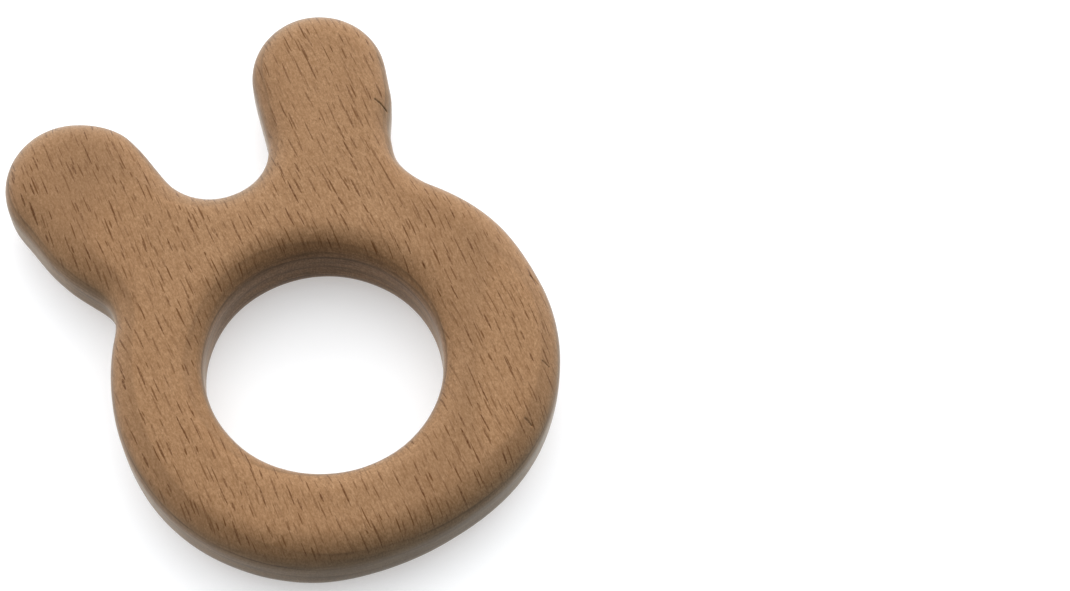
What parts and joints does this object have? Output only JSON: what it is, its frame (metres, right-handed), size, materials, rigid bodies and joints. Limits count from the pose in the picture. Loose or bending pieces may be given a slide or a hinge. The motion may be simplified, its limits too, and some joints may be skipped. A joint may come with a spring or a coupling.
{
  "type": "teething ring",
  "caption": "Bunny-shaped wooden teething ring: a round head with a finger hole and two ears, rounded over all edges.",
  "frame": {"origin": "on the finger hole's axis, half way through the thickness", "axes": "+Z out of the front face along the finger hole's axis, +Y from the chin towards the ears, +X towards the right ear seen from the front"},
  "size_m": [0.0604, 0.0788, 0.0126],
  "materials": {
    "beech": "sanded and lightly oiled beech, satin"
  },
  "bodies": {
    "root": {"teether_ring": "beech"}
  },
  "joints": []
}
